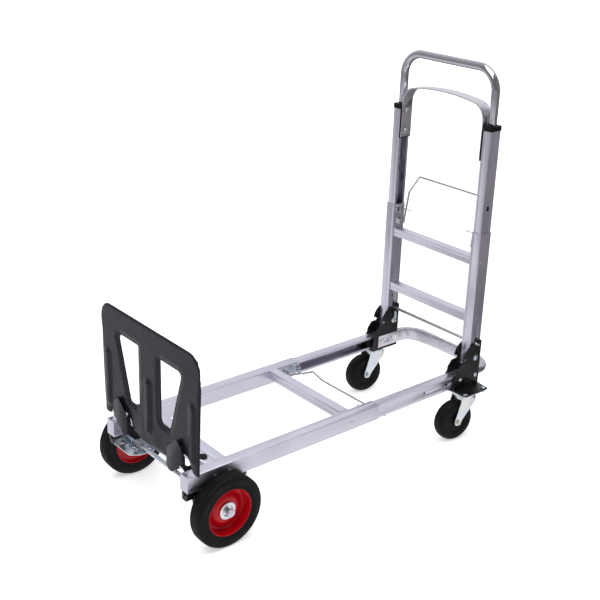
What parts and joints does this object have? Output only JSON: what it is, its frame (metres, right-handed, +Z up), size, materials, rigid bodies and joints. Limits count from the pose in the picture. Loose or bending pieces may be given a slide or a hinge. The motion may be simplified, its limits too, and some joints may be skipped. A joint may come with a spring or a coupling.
{
  "type": "convertible hand truck",
  "caption": "Aluminium hand truck that converts to a platform truck: folding telescoping upright, folding toe plate with tucking load wheels, telescoping base on swivel casters.",
  "frame": {"origin": "on the floor under the middle of the whole object", "axes": "+X along the platform from the toe plate to the upright, +Y to the left across it, +Z up"},
  "size_m": [1.177, 0.494, 1.129],
  "materials": {
    "aluminium": "satin anodised extrusion",
    "bow_aluminium": "satin rolled flat bar",
    "zinc": "bright blue-white zinc plating",
    "charcoal_paint": "satin powder coat",
    "black_paint": "semi-gloss black powder coat",
    "black_plastic": "moulded",
    "bumper_rubber": "moulded",
    "tyre_rubber": "solid rubber, satin",
    "red_paint": "gloss red enamel",
    "chrome": "polished"
  },
  "bodies": {
    "base_frame": {"base_rail_left": "aluminium", "base_rail_right": "aluminium", "front_crossbar": "aluminium", "mid_crossbar": "aluminium", "toe_shaft": "zinc", "wheel_hinge_brackets": "black_paint", "wheel_hinge_pins": "black_paint", "toe_bumpers": "bumper_rubber", "base_bail_brackets": "zinc", "base_rivets": "aluminium"},
    "lock_pedal": {"pedal_plate": "zinc", "lock_rod": "zinc"},
    "toe": {"toe_plate": "charcoal_paint", "toe_bracket_left": "charcoal_paint", "toe_bracket_right": "charcoal_paint", "toe_rivets": "black_paint"},
    "carrier_left": {"wheel_carrier_left": "black_paint", "wheel_axle_left": "zinc"},
    "carrier_right": {"wheel_carrier_right": "black_paint", "wheel_axle_right": "zinc"},
    "wheel_left": {"tyre_left": "tyre_rubber", "rim_left": "red_paint", "hub_left": "zinc"},
    "wheel_right": {"tyre_right": "tyre_rubber", "rim_right": "red_paint", "hub_right": "zinc"},
    "base_slider": {"base_slide_rail_left": "aluminium", "base_slide_rail_right": "aluminium", "hinge_plates_left": "black_paint", "hinge_plates_right": "black_paint", "hinge_pins": "zinc", "caster_mounts": "black_paint", "caster_plates": "zinc", "base_bow": "bow_aluminium", "base_guides": "black_plastic", "base_slider_rivets": "zinc", "base_lock_plates": "zinc"},
    "rear_handle": {"base_handle": "chrome"},
    "caster_left": {"caster_fork_left": "zinc", "caster_axle_left": "zinc"},
    "caster_right": {"caster_fork_right": "zinc", "caster_axle_right": "zinc"},
    "caster_wheel_left": {"caster_wheel_left": "tyre_rubber"},
    "caster_wheel_right": {"caster_wheel_right": "tyre_rubber"},
    "base_bail": {"base_bail": "zinc"},
    "upright": {"upright_rail_left": "aluminium", "upright_rail_right": "aluminium", "upright_crossbars": "aluminium", "upright_bail_brackets": "zinc", "release_springs": "zinc", "upright_rivets": "zinc"},
    "release_rod": {"release_rod": "zinc"},
    "upright_bail": {"upright_bail": "zinc"},
    "upright_slider": {"upright_slide_rail_left": "aluminium", "upright_slide_rail_right": "aluminium", "upright_caps": "black_plastic", "upright_bow": "bow_aluminium", "upright_slider_rivets": "zinc"},
    "top_handle": {"upright_handle": "chrome"}
  },
  "joints": [
    {"name": "toe_fold", "type": "hinge", "parent": "base_frame", "child": "toe", "pos_m": [-0.5355, 0, 0.192], "axis": [0, 1, 0], "range_deg": [0, 90]},
    {"name": "wheel_fold_left", "type": "hinge", "parent": "base_frame", "child": "carrier_left", "pos_m": [-0.4785, 0.177, 0.159], "axis": [1, 0, 0], "range_deg": [-90, 0]},
    {"name": "wheel_fold_right", "type": "hinge", "parent": "base_frame", "child": "carrier_right", "pos_m": [-0.4785, -0.177, 0.159], "axis": [1, 0, 0], "range_deg": [0, 90]},
    {"name": "wheel_spin_left", "type": "hinge", "parent": "carrier_left", "child": "wheel_left", "pos_m": [-0.4785, 0.222, 0.1], "axis": [0, 1, 0], "continuous": true},
    {"name": "wheel_spin_right", "type": "hinge", "parent": "carrier_right", "child": "wheel_right", "pos_m": [-0.4785, -0.222, 0.1], "axis": [0, 1, 0], "continuous": true},
    {"name": "pedal", "type": "hinge", "parent": "base_frame", "child": "lock_pedal", "pos_m": [-0.5445, 0, 0.172], "axis": [0, 1, 0], "range_deg": [-12, 0], "stiffness_Nm_per_rad": 2},
    {"name": "base_extend", "type": "slide", "parent": "base_frame", "child": "base_slider", "axis": [1, 0, 0], "range_m": [-0.28, 0]},
    {"name": "rear_handle_slide", "type": "slide", "parent": "base_slider", "child": "rear_handle", "axis": [1, 0, 0], "range_m": [0, 0.07]},
    {"name": "caster_swivel_left", "type": "hinge", "parent": "base_slider", "child": "caster_left", "pos_m": [0.4345, 0.201, 0.145], "axis": [0, 0, 1], "continuous": true},
    {"name": "caster_swivel_right", "type": "hinge", "parent": "base_slider", "child": "caster_right", "pos_m": [0.4345, -0.201, 0.145], "axis": [0, 0, 1], "continuous": true},
    {"name": "caster_spin_left", "type": "hinge", "parent": "caster_left", "child": "caster_wheel_left", "pos_m": [0.39687, 0.20629, 0.0635], "axis": [0.1392, 0.9903, 0], "continuous": true},
    {"name": "caster_spin_right", "type": "hinge", "parent": "caster_right", "child": "caster_wheel_right", "pos_m": [0.39687, -0.19571, 0.0635], "axis": [0.1392, 0.9903, 0], "continuous": true},
    {"name": "base_bail_swing", "type": "hinge", "parent": "base_frame", "child": "base_bail", "pos_m": [0.0195, 0, 0.187], "axis": [0, 1, 0], "range_deg": [0, 12], "stiffness_Nm_per_rad": 1.5},
    {"name": "upright_fold", "type": "hinge", "parent": "base_slider", "child": "upright", "pos_m": [0.4715, 0, 0.251], "axis": [0, 1, 0], "range_deg": [-90, 0]},
    {"name": "release_lift", "type": "slide", "parent": "upright", "child": "release_rod", "axis": [0, 0, 1], "range_m": [-0.005, 0.01], "stiffness_N_per_m": 3000, "deforming": ["release_springs"]},
    {"name": "upright_bail_swing", "type": "hinge", "parent": "upright", "child": "upright_bail", "pos_m": [0.4705, 0, 0.591], "axis": [0, 1, 0], "range_deg": [0, 12], "stiffness_Nm_per_rad": 1.5},
    {"name": "upright_extend", "type": "slide", "parent": "upright", "child": "upright_slider", "axis": [0, 0, 1], "range_m": [-0.185, 0]},
    {"name": "top_handle_slide", "type": "slide", "parent": "upright_slider", "child": "top_handle", "axis": [0, 0, 1], "range_m": [-0.055, 0]}
  ],
  "couplings": [
    {"joint": "wheel_fold_left", "follows": "toe_fold", "ratio": -1},
    {"joint": "wheel_fold_right", "follows": "toe_fold", "ratio": 1}
  ]
}
